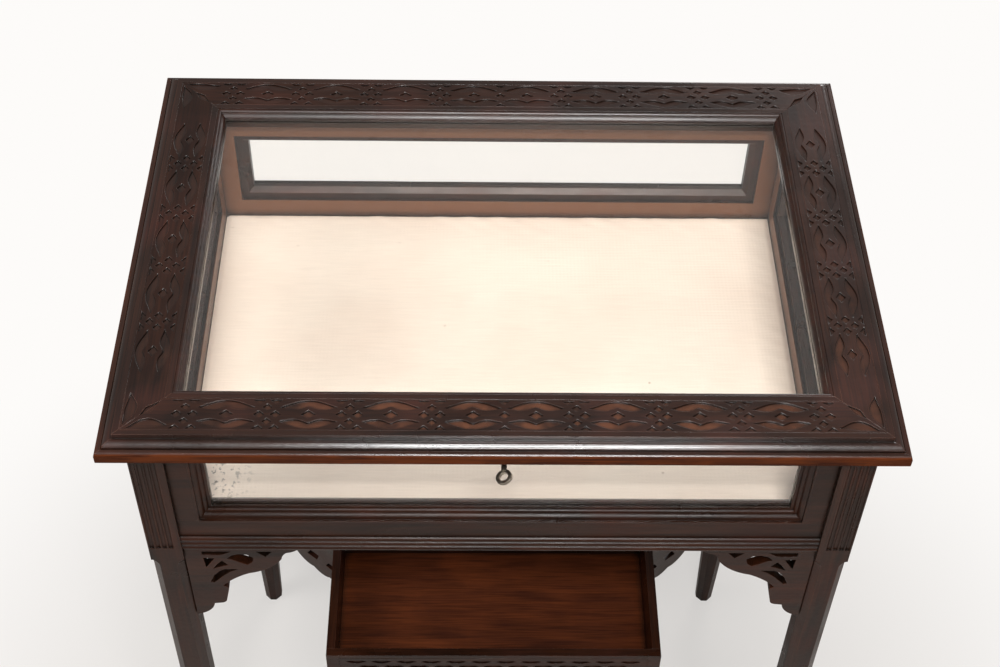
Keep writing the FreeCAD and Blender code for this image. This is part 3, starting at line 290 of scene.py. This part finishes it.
def clear_glass():
    """Old drawn glass: clear, barely wavy, with the room lying faintly over what is behind it.

    Light that falls through it on what it covers passes straight on.
    """
    material, tree, output = new_material("drawn_window_glass")
    place = add(tree, "ShaderNodeTexCoord").outputs["Object"]
    # the slow waves of drawn glass, about 60 mm from crest to crest
    waves = add(tree, "ShaderNodeTexNoise", {"Vector": place, "Scale": 1 / (62.5 * MM), "Detail": 1.0})
    ripple = add(tree, "ShaderNodeBump", {"Height": waves, "Distance": 0.1 * MM})
    pane = add(tree, "ShaderNodeBsdfPrincipled", {"Base Color": linear("fefdfb"), "Roughness": 0.01,
                                                  "IOR": 1.5, "Transmission Weight": 1.0, "Normal": ripple})
    through = add(tree, "ShaderNodeBsdfTransparent", {"Color": linear("fbf9f6")})
    rays = add(tree, "ShaderNodeLightPath").outputs
    lit = add(tree, "ShaderNodeMath", {0: rays["Is Shadow Ray"], 1: rays["Is Diffuse Ray"]},
              operation="MAXIMUM")
    either = add(tree, "ShaderNodeMixShader", {0: lit, 1: pane, 2: through})
    tree.links.new(either.outputs[0], output.inputs[0])
    return material


def aged_metal(name, clean, dull):
    """Cast and filed metal, dulled with handling and age, brighter where it is rubbed."""
    material, tree, output = new_material(name)
    place = add(tree, "ShaderNodeTexCoord").outputs["Object"]
    # tarnish in patches about 6 mm across
    patch = add(tree, "ShaderNodeTexNoise", {"Vector": place, "Scale": 1 / (6.25 * MM), "Detail": 4.0})
    bright = add(tree, "ShaderNodeMapRange", {"Value": patch, "From Min": 0.38, "From Max": 0.7})
    tone = add(tree, "ShaderNodeMix", {0: bright, 6: linear(dull), 7: linear(clean)}, data_type="RGBA")
    eased = add(tree, "ShaderNodeBevel", {"Radius": 0.3 * MM}, samples=4)
    # file marks about 0.4 mm apart
    scratches = add(tree, "ShaderNodeTexNoise", {"Vector": place, "Scale": 1 / (0.41667 * MM)})
    marks = add(tree, "ShaderNodeBump", {"Height": scratches, "Distance": 0.02 * MM, "Normal": eased})
    rubbed = add(tree, "ShaderNodeMapRange", {"Value": patch, "To Min": 0.5, "To Max": 0.25})
    metal = add(tree, "ShaderNodeBsdfPrincipled", {"Base Color": tone.outputs[2], "Metallic": 1.0,
                                                   "Roughness": rubbed, "Normal": marks})
    tree.links.new(metal.outputs[0], output.inputs[0])
    return material


def aged_silk(tree, place, slub):
    """The cream silk's colour: warmer in places, streaked by its slubs, foxed, and mildewed in one corner."""
    # the silk has yellowed in clouds about 110 mm across
    age = add(tree, "ShaderNodeTexNoise", {"Vector": place, "Scale": 1 / (111.11 * MM), "Detail": 3.0})
    paler = add(tree, "ShaderNodeMapRange", {"Value": age, "From Min": 0.3, "From Max": 0.75})
    tone = add(tree, "ShaderNodeMix", {0: paler, 6: linear("ecdccf"), 7: linear("f6ebdf")}, data_type="RGBA")
    streaks = add(tree, "ShaderNodeMapRange", {"Value": slub, "From Min": 0.3, "From Max": 0.7,
                                               "To Min": 0.95, "To Max": 1.03})
    cloth = add(tree, "ShaderNodeVectorMath", {0: tone.outputs[2], 1: streaks}, operation="MULTIPLY")
    # brown age spots, foxing, 1 to 3 mm across and 22 mm apart, in a few patches
    spots = add(tree, "ShaderNodeTexVoronoi", {"Vector": place, "Scale": 1 / (22.222 * MM),
                                               "Randomness": 1.0})
    foxing = masked(tree, [(spots.outputs["Distance"], 0.07, 0.03), (age, 0.55, 0.7)], 1.0)
    foxed = add(tree, "ShaderNodeMix", {0: foxing, 6: cloth, 7: linear("8a6a4c")}, data_type="RGBA")
    # a cluster of dark mildew flecks, drawn from noise of 3.3 mm, in the front left corner
    from_corner = add(tree, "ShaderNodeVectorMath", {0: place, 1: (-0.228, -0.128, 0.635)},
                      operation="DISTANCE")
    flecks = add(tree, "ShaderNodeTexNoise", {"Vector": place, "Scale": 1 / (3.3333 * MM), "Detail": 4.0})
    mildew = masked(tree, [(from_corner.outputs["Value"], 0.045, 0.005), (flecks, 0.56, 0.66)], 1.0)
    spoilt = add(tree, "ShaderNodeMix", {0: mildew, 6: foxed.outputs[2], 7: linear("2c241c")},
                 data_type="RGBA")
    return spoilt.outputs[2]


def padded_silk():
    """Cream silk, plain woven with a slubby weft, drawn over wadding: soft, faintly ribbed and dull."""
    material, tree, output = new_material("woven_cream_silk")
    place = add(tree, "ShaderNodeTexCoord").outputs["Object"]
    # weft slubs about 1 mm wide and 29 mm long, coarser than the real thread so that they show
    slub = grown(tree, place, (28.571, 1, 10), 3.0)
    # ribs each way, also coarser than the thread; a wave texture turns by 20 radians in one unit
    rib = 3.1416 * MM
    waves = {"Vector": place, "Scale": math.tau / 20 / rib}
    weft = add(tree, "ShaderNodeTexWave", waves, bands_direction="Y").outputs["Fac"]
    warp = add(tree, "ShaderNodeTexWave", waves, bands_direction="X").outputs["Fac"]
    threads = add(tree, "ShaderNodeMath", {0: weft, 1: warp}, operation="ADD")
    slubs = add(tree, "ShaderNodeBump", {"Height": slub, "Distance": 0.12 * MM})
    weave = add(tree, "ShaderNodeBump", {"Height": threads, "Distance": 0.04 * MM, "Normal": slubs})
    surface = add(tree, "ShaderNodeBsdfPrincipled", {
        "Base Color": aged_silk(tree, place, slub), "Roughness": 0.62, "Sheen Weight": 0.35,
        "Sheen Roughness": 0.4, "Specular IOR Level": 0.35, "Normal": weave})
    tree.links.new(surface.outputs[0], output.inputs[0])
    return material


GLASS = clear_glass()
BRASS = aged_metal("aged_brass", "b08d4a", "6b4f2a")
KEY_METAL = aged_metal("worn_iron", "d2c8b8", "7a7164")
SILK = padded_silk()


# ---------------------------------------------------------------- which piece is made of what

paint(ends("lid_", "front", "back"), LID_LENGTHWISE)
paint(ends("lid_", "left", "right"), LID_CROSSWISE)
paint(ends("lid_", "glazing_moulding", "retaining_bead"), FRET_LENGTHWISE)
for side in SIDES:
    wood = ALONG_X if side in ("front", "back") else ALONG_Y
    paint(ends(f"bracket_{side}_", "left", "right"), wood)
    for part in ("top_rail", "bottom_rail", "window_frame", "base_moulding", "tray_wall"):
        paint([f"{part}_{side}"], wood)
    paint([f"pane_{side}"], GLASS)
for corner in CORNERS:
    paint([f"leg_{corner}"], ALONG_Z)
    paint([f"diagonal_board_{corner}"], RISING if corner in ("front_left", "back_right") else FALLING)
paint(["glazing_beads", "case_floor"], ALONG_X)
paint(["tray_floor"], TRAY_WOOD)
paint(["lid_glass"], GLASS)
paint(["lock_body", "escutcheon", "striker_plate", "lock_bolt"], BRASS)
for side in ("left", "right"):
    paint(ends(f"hinge_{side}_", "case_leaf", "lid_leaf"), BRASS)
paint(["key"], KEY_METAL)


# ---------------------------------------------------------------- blind fret

# the lid's moulded edge lies outside its flat, whose front, back and side edges are these
FLAT_INSET = 11.8 * MM
FLAT_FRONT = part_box("lid_front")[0].y + FLAT_INSET
FLAT_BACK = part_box("lid_back")[1].y - FLAT_INSET
FLAT_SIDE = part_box("lid_front")[1].x - FLAT_INSET


def spline_from(curve, corners):
    """Adds one closed outline in mm; a corner is (x, y), or (x, y, 1) where the line runs through round."""
    spline = curve.splines.new("BEZIER")
    spline.bezier_points.add(len(corners) - 1)
    for point, corner in zip(spline.bezier_points, corners):
        point.co = (corner[0] * MM, corner[1] * MM, 0)
        kind = "AUTO" if len(corner) == 3 else "VECTOR"
        point.handle_left_type = kind
        point.handle_right_type = kind
    spline.use_cyclic_u = True
    spline.resolution_u = 5


def fret_plate(name, outlines, thickness, place, body, material):
    """A sawn plate with its openings, laid flat and then brought to its place by a matrix."""
    curve = bpy.data.curves.new(name, "CURVE")
    curve.dimensions = "2D"
    curve.fill_mode = "BOTH"
    for corners in outlines:
        spline_from(curve, corners)
    # the sawn edges are eased, and the outline is drawn in by as much so that the plate keeps its size
    ease = 0.14 * MM
    curve.extrude = thickness / 2 - ease
    curve.bevel_depth = ease
    curve.bevel_resolution = 0
    curve.offset = -ease
    source = bpy.data.objects.new(f"{name}_outline", curve)
    bpy.context.scene.collection.objects.link(source)
    bpy.context.view_layer.update()
    mesh = bpy.data.meshes.new_from_object(source.evaluated_get(bpy.context.evaluated_depsgraph_get()))
    bpy.data.objects.remove(source)
    mesh.transform(place)
    plate = shown(name, mesh, material)
    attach(plate, body)


def oval_openings(middle):
    """The openings round one pointed oval: a crescent above, one below, and the diamond between them."""
    crescent = [(-20.5, 6.2), (0, 12.6, 1), (20.5, 6.2), (8.5, 4.3, 1), (0, 7.4), (-8.5, 4.3, 1)]
    diamond = [(-5.3, 0), (0, 3.7), (5.3, 0), (0, -3.7)]
    shapes = [crescent, [(c[0], -c[1]) + c[2:] for c in crescent], diamond]
    return [[(middle + c[0],) + c[1:] for c in shape] for shape in shapes]


def crossing_openings(middle, columns):
    """The openings where the ribbons cross: small diamonds at mid height and triangles at the edges."""
    pitch = 11.4
    shapes = []
    for number in range(columns):
        x = middle + (number - (columns - 1) / 2) * pitch
        shapes.append([(x - 4.0, 0), (x, 3.3), (x + 4.0, 0), (x, -3.3)])
        shapes.append([(x - 4.4, 12.9), (x + 4.4, 12.9), (x, 9.2)])
        shapes.append([(x - 4.4, -12.9), (x, -9.2), (x + 4.4, -12.9)])
    for number in range(columns - 1):
        x = middle + (number - (columns - 2) / 2) * pitch
        for y in (6.3, -6.3):
            shapes.append([(x - 3.6, y), (x, y + 3.1), (x + 3.6, y), (x, y - 3.1)])
    return shapes


def fret_strip(side, half, ovals, crossings, material):
    """One strip of the fret along one side of the lid, mitred round half of each corner's kite.

    It is drawn in mm with its outer edge along X and then laid in its channel. Ovals are given by their
    middles, and crossings by a middle and how many columns of diamonds lie there.
    """
    margin = 4.65
    centre_line = 18.6
    inner_edge = centre_line * 2 - margin
    end = [(margin, margin), (17.5, 17.5), (24.5, 20.5), (29.5, 29.5), (inner_edge, inner_edge)]
    outlines = [[(half - x, y) for x, y in end] + [(x - half, y) for x, y in reversed(end)]]
    petal = [(9, 6.3), (23, 14.6, 1), (37.5, 8.5), (23, 6.3)]
    for way in (-1, 1):
        outlines.append([(way * (half - c[0]),) + c[1:] for c in petal])
    openings = [shape for middle in ovals for shape in oval_openings(middle)]
    for middle, columns in crossings:
        openings += crossing_openings(middle, columns)
    outlines += [[(c[0], c[1] + centre_line) + c[2:] for c in shape] for shape in openings]
    middle_y = (FLAT_FRONT + FLAT_BACK) / 2
    outer_edge = {"front": (0, FLAT_FRONT), "right": (FLAT_SIDE, middle_y), "back": (0, FLAT_BACK),
                  "left": (-FLAT_SIDE, middle_y)}[side]
    thickness = 1.15 * MM
    below_flat = 0.03 * MM
    z = LID_TOP - thickness / 2 - below_flat
    place = Matrix.Translation((*outer_edge, z)) @ Matrix.Rotation(math.radians(SIDES[side]), 4, "Z")
    fret_plate(f"lid_fret_{side}", outlines, thickness, place, "lid", material)


def lid_fret():
    """Four strips of sawn fret let into the channels round the lid's flat, laid out in mm."""
    # how much of each strip's end its corner takes
    turning = 48
    # along the front and the back: eight ovals, the middle pair drawn closer about a single crossing, and
    # the last on each side half a step short of the corner
    half = FLAT_SIDE / MM
    first = 21.9
    step = (half - turning - first) / 3.5
    ovals = [way * (first + step * number) for way in (-1, 1) for number in range(4)]
    crossings = [(way * (first + step * (number + 0.5)), 2) for way in (-1, 1) for number in range(4)]
    crossings.append((0, 1))
    fret_strip("front", half, ovals, crossings, FRET_LENGTHWISE)
    fret_strip("back", half, ovals, crossings, FRET_LENGTHWISE)
    # along the sides: five ovals
    half = (FLAT_BACK - FLAT_FRONT) / MM / 2
    step = (half - turning) * 2 / 5
    ovals = [(number - 2) * step for number in range(5)]
    crossings = [((number - 1.5) * step, 2) for number in range(4)]
    fret_strip("right", half, ovals, crossings, FRET_CROSSWISE)
    fret_strip("left", half, ovals, crossings, FRET_CROSSWISE)


def tray_fret(side):
    """A lattice of crossing straps let into the panel of one tray wall, laid out in mm from its middle."""
    low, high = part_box("tray_wall_front")[0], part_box("tray_wall_back")[1]
    length, width, height = ((top - bottom) / MM for bottom, top in zip(low, high))
    lengthwise = side in ("front", "back")
    span, depth = (length, width) if lengthwise else (width, length)
    end_border = 12.05
    long_border = 5.05
    half = span / 2 - end_border
    rise = height / 2 - long_border
    outlines = [[(-half, -rise), (half, -rise), (half, rise), (-half, rise)]]
    # five rows of pointed openings, every other row moved on by half an opening
    plain_end = 4.5
    wanted_pitch = 23.5
    count = round((half - plain_end) * 2 / wanted_pitch)
    pitch = (half - plain_end) * 2 / count
    row_pitch = 8.4
    reach, swell = pitch * 0.42, 3.1
    for row in range(5):
        y = (row - 2) * row_pitch
        shift = row % 2
        for number in range(count - shift):
            x = (number + shift / 2 - (count - 1) / 2) * pitch
            outlines.append([(x - reach, y), (x, y + swell, 1), (x + reach, y), (x, y - swell, 1)])
    thickness = 1.12 * MM
    below_face = 0.04 * MM
    stand = Matrix.Rotation(QUARTER_TURN, 4, "X")
    out = Matrix.Translation((0, -(depth * MM / 2 - thickness / 2 - below_face), 0))
    turn = Matrix.Rotation(math.radians(SIDES[side]), 4, "Z")
    place = Matrix.Translation((low + high) / 2) @ turn @ out @ stand
    fret_plate(f"tray_fret_{side}", outlines, thickness, place, "table", ALONG_X if lengthwise else ALONG_Y)


lid_fret()
for side in SIDES:
    tray_fret(side)


# ---------------------------------------------------------------- screws

def slotted_head(radius):
    """The head of one countersunk screw, facing up, with the slot for the driver."""
    half_slot = radius * 0.14
    slot_depth = radius * 0.12
    countersink = radius * 0.2
    work = bmesh.new()
    bmesh.ops.create_circle(work, cap_ends=True, segments=20, radius=radius)
    for x in (-half_slot, half_slot):
        everything = work.verts[:] + work.edges[:] + work.faces[:]
        bmesh.ops.bisect_plane(work, geom=everything, plane_co=(x, 0, 0), plane_no=(1, 0, 0))
    slot = [face for face in work.faces if abs(face.calc_center_median().x) < half_slot]
    sunk = bmesh.ops.extrude_face_region(work, geom=slot)["geom"]
    bmesh.ops.delete(work, geom=slot, context="FACES")
    bmesh.ops.translate(work, vec=(0, 0, -slot_depth), verts=verts_of(sunk))
    rim = [edge for edge in work.edges
           if edge.is_boundary and all(vert.co.z > -slot_depth / 2 for vert in edge.verts)]
    skirt = bmesh.ops.extrude_edge_only(work, edges=rim)["geom"]
    bmesh.ops.translate(work, vec=(0, 0, -countersink), verts=verts_of(skirt))
    bmesh.ops.remove_doubles(work, verts=work.verts, dist=0.001 * MM)
    bmesh.ops.recalc_face_normals(work, faces=work.faces)
    return mesh_from("slotted_head", work)


def screws(name, places, facing, body, radius):
    """Several screws that face one way, each turned to its own stop."""
    first_stop, next_stop = 0.7, 1.9
    single = slotted_head(radius)
    tilt = Vector((0, 0, 1)).rotation_difference(Vector(facing)).to_matrix().to_4x4()
    work = bmesh.new()
    for number, place in enumerate(places):
        head = single.copy()
        stop = Matrix.Rotation(first_stop + number * next_stop, 4, "Z")
        head.transform(Matrix.Translation(place) @ tilt @ stop)
        work.from_mesh(head)
        bpy.data.meshes.remove(head)
    bpy.data.meshes.remove(single)
    piece = shown(name, mesh_from(name, work), BRASS)
    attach(piece, body)


def hinge_screws():
    """Three screws in each leaf of both hinges, a little proud of it."""
    radius = 1.7 * MM
    proud = 0.12 * MM
    from_edge = 5.2 * MM
    case_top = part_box("leg_back_left")[1].z
    for name, up, face, body in (("case_leaf", 1, case_top, "table"), ("lid_leaf", -1, LID_LOW, "lid")):
        places = []
        for side in ("left", "right"):
            low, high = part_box(f"hinge_{side}_case_leaf")
            for share in (0.14, 0.5, 0.86):
                places.append((low.x + (high.x - low.x) * share, low.y + from_edge, face + up * proud))
        screws(f"hinge_screws_{name}", places, (0, 0, up), body, radius)


def lock_screws():
    """Two screws in the striker plate and four in the back of the lock."""
    radius = 1.5 * MM
    low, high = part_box("striker_plate")
    from_end = 3.4 * MM
    y = (low.y + high.y) / 2
    z = LID_LOW - 0.12 * MM
    screws("striker_screws", [(low.x + from_end, y, z), (high.x - from_end, y, z)], (0, 0, -1), "lid", radius)
    low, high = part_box("lock_body")
    from_edge = 3.2 * MM
    places = [(x, high.y + 0.3 * MM, z) for x in (low.x + from_edge, high.x - from_edge)
              for z in (low.z + from_edge, high.z - from_edge)]
    screws("lock_screws", places, (0, 1, 0), "table", radius)


hinge_screws()
lock_screws()


# ---------------------------------------------------------------- silk lining

def silk_lining():
    """The padded panel on the case floor: soft rolled edges, puckered where the silk is gathered under."""
    low, high = LINING_LOW, LINING_HIGH
    size = high - low
    middle = (low + high) / 2
    work = bmesh.new()
    bmesh.ops.create_grid(work, x_segments=190, y_segments=130, size=0.5)
    bmesh.ops.scale(work, vec=(size.x, size.y, 1), verts=work.verts)
    bmesh.ops.translate(work, vec=(middle.x, middle.y, low.z), verts=work.verts)
    # how high the padding stands in its middle
    crown = (size.z + 1.2 * MM) * 0.85
    edge_roll = 7 * MM
    gathered = 14 * MM
    pucker_height = 1.3 * MM
    swell_height = 0.35 * MM
    for vert in work.verts:
        x, y = vert.co.xy
        inset = min(x - low.x, high.x - x, y - low.y, high.y - y)
        roll = math.sqrt(max(0.0, 1 - (1 - min(inset / edge_roll, 1)) ** 2))
        # puckers about 13 mm apart run in from every edge and die out
        gather = math.exp(-inset / gathered)
        pucker = noise.noise(Vector(((x + y * 1.7) * 75, inset * 10, 3.1))) * pucker_height * gather
        # the wadding lies uneven in lumps about 110 mm across
        swell = noise.noise(Vector((x * 9, y * 9, 0.7))) * swell_height
        vert.co.z += roll * (crown + pucker + swell)
    rim = [edge for edge in work.edges if edge.is_boundary]
    for vert in verts_of(bmesh.ops.extrude_edge_only(work, edges=rim)["geom"]):
        vert.co.z = low.z
    bmesh.ops.holes_fill(work, edges=[edge for edge in work.edges if edge.is_boundary])
    bmesh.ops.recalc_face_normals(work, faces=work.faces)
    piece = shown("silk_lining", mesh_from("silk_lining", work), SILK)
    piece.data.shade_smooth()
    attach(piece, "table")
    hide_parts("lining")


silk_lining()


# ---------------------------------------------------------------- floor, light and camera

def pale_floor():
    """A plain pale floor that keeps the table's shadow and turns plain white further out."""
    material, tree, output = new_material("painted_studio_floor")
    place = add(tree, "ShaderNodeTexCoord").outputs["Object"]
    paint_coat = add(tree, "ShaderNodeBsdfDiffuse", {"Color": linear("c6c1bc")})
    white = add(tree, "ShaderNodeEmission", {"Color": linear("fdfbf9"), "Strength": 1.0})
    # the white comes in along an ellipse, wider along the table than across it
    flat = add(tree, "ShaderNodeVectorMath", {0: place, 1: (1.0, 1.25, 0.0)}, operation="MULTIPLY")
    away = add(tree, "ShaderNodeVectorMath", {0: flat}, operation="LENGTH").outputs["Value"]
    spread = add(tree, "ShaderNodeMapRange", {"Value": away, "From Min": 0.3, "From Max": 0.85,
                                              "To Min": 0.5}, interpolation_type="SMOOTHSTEP")
    rays = add(tree, "ShaderNodeLightPath").outputs
    seen = add(tree, "ShaderNodeMath", {0: rays["Is Camera Ray"], 1: rays["Is Transmission Ray"]},
               operation="MAXIMUM")
    amount = add(tree, "ShaderNodeMath", {0: spread, 1: seen}, operation="MULTIPLY")
    both = add(tree, "ShaderNodeMixShader", {0: amount, 1: paint_coat, 2: white})
    tree.links.new(both.outputs[0], output.inputs[0])
    half_width = 6.0
    work = bmesh.new()
    bmesh.ops.create_grid(work, x_segments=1, y_segments=1, size=half_width)
    ground = shown("studio_floor", mesh_from("studio_floor", work), material)


def white_room():
    """The world: even soft light, and plain white where it is seen."""
    world = bpy.data.worlds.new("white_room")
    bpy.context.scene.world = world
    world.use_nodes = True
    tree = world.node_tree
    tree.nodes.clear()
    rays = add(tree, "ShaderNodeLightPath").outputs
    seen = add(tree, "ShaderNodeMath", {0: rays["Is Camera Ray"], 1: rays["Is Transmission Ray"]},
               operation="MAXIMUM")
    strength = add(tree, "ShaderNodeMapRange", {"Value": seen, "To Min": 0.2, "To Max": 1.0})
    sky = add(tree, "ShaderNodeBackground", {"Color": linear("fffdfa"), "Strength": strength})
    add(tree, "ShaderNodeOutputWorld", {"Surface": sky})


# each lamp: its place, what it is aimed at, its width and height in metres, and its power in watts
LAMPS = {
    "key_light": ((0.12, -0.45, 2.5), (0.1, -0.1, 0.7), 0.7, 0.2, 13),
    "middle_light": ((0.12, -1.25, 2.35), (0.1, -0.2, 0.75), 0.6, 0.2, 36),
    "front_light": ((0.12, -1.9, 1.75), (0.1, -0.2, 0.75), 0.6, 0.2, 14),
    "side_light": ((-1.6, -0.4, 1.9), (0, 0, 0.5), 1.0, 1.0, 17),
    "back_light": ((0.9, 2.2, 1.2), (0, 0, 0.5), 1.0, 1.0, 14),
}


def soft_box(name, place, target, width, height, power):
    """A rectangular soft white light aimed at a point."""
    lamp = bpy.data.lights.new(name, "AREA")
    lamp.shape = "RECTANGLE"
    lamp.size = width
    lamp.size_y = height
    lamp.energy = power
    holder = bpy.data.objects.new(name, lamp)
    direction = Vector(target) - Vector(place)
    holder.matrix_world = Matrix.Translation(place) @ direction.to_track_quat("-Z", "Y").to_matrix().to_4x4()
    bpy.context.scene.collection.objects.link(holder)


def camera():
    """A long lens from above the front edge, looking down on the lid."""
    place = (-0.024246, -0.886742, 1.650226)
    pitch, yaw, roll = (math.radians(angle) for angle in (48.243, 1.562, 1.491))
    forward = Vector((math.sin(yaw) * math.cos(pitch), math.cos(yaw) * math.cos(pitch), -math.sin(pitch)))
    level = Vector((math.cos(yaw), -math.sin(yaw), 0))
    above = level.cross(forward)
    right = level * math.cos(roll) + above * math.sin(roll)
    up = above * math.cos(roll) - level * math.sin(roll)
    data = bpy.data.cameras.new("camera")
    # both in millimetres
    data.sensor_width = 36
    data.lens = 59.256
    data.clip_end = 50
    holder = bpy.data.objects.new("camera", data)
    turn = Matrix((right, up, -forward)).transposed().to_4x4()
    holder.matrix_world = Matrix.Translation(place) @ turn
    bpy.context.scene.collection.objects.link(holder)
    bpy.context.scene.camera = holder


pale_floor()
white_room()
for name, lamp in LAMPS.items():
    soft_box(name, *lamp)
camera()
bpy.context.scene.view_settings.view_transform = "Standard"
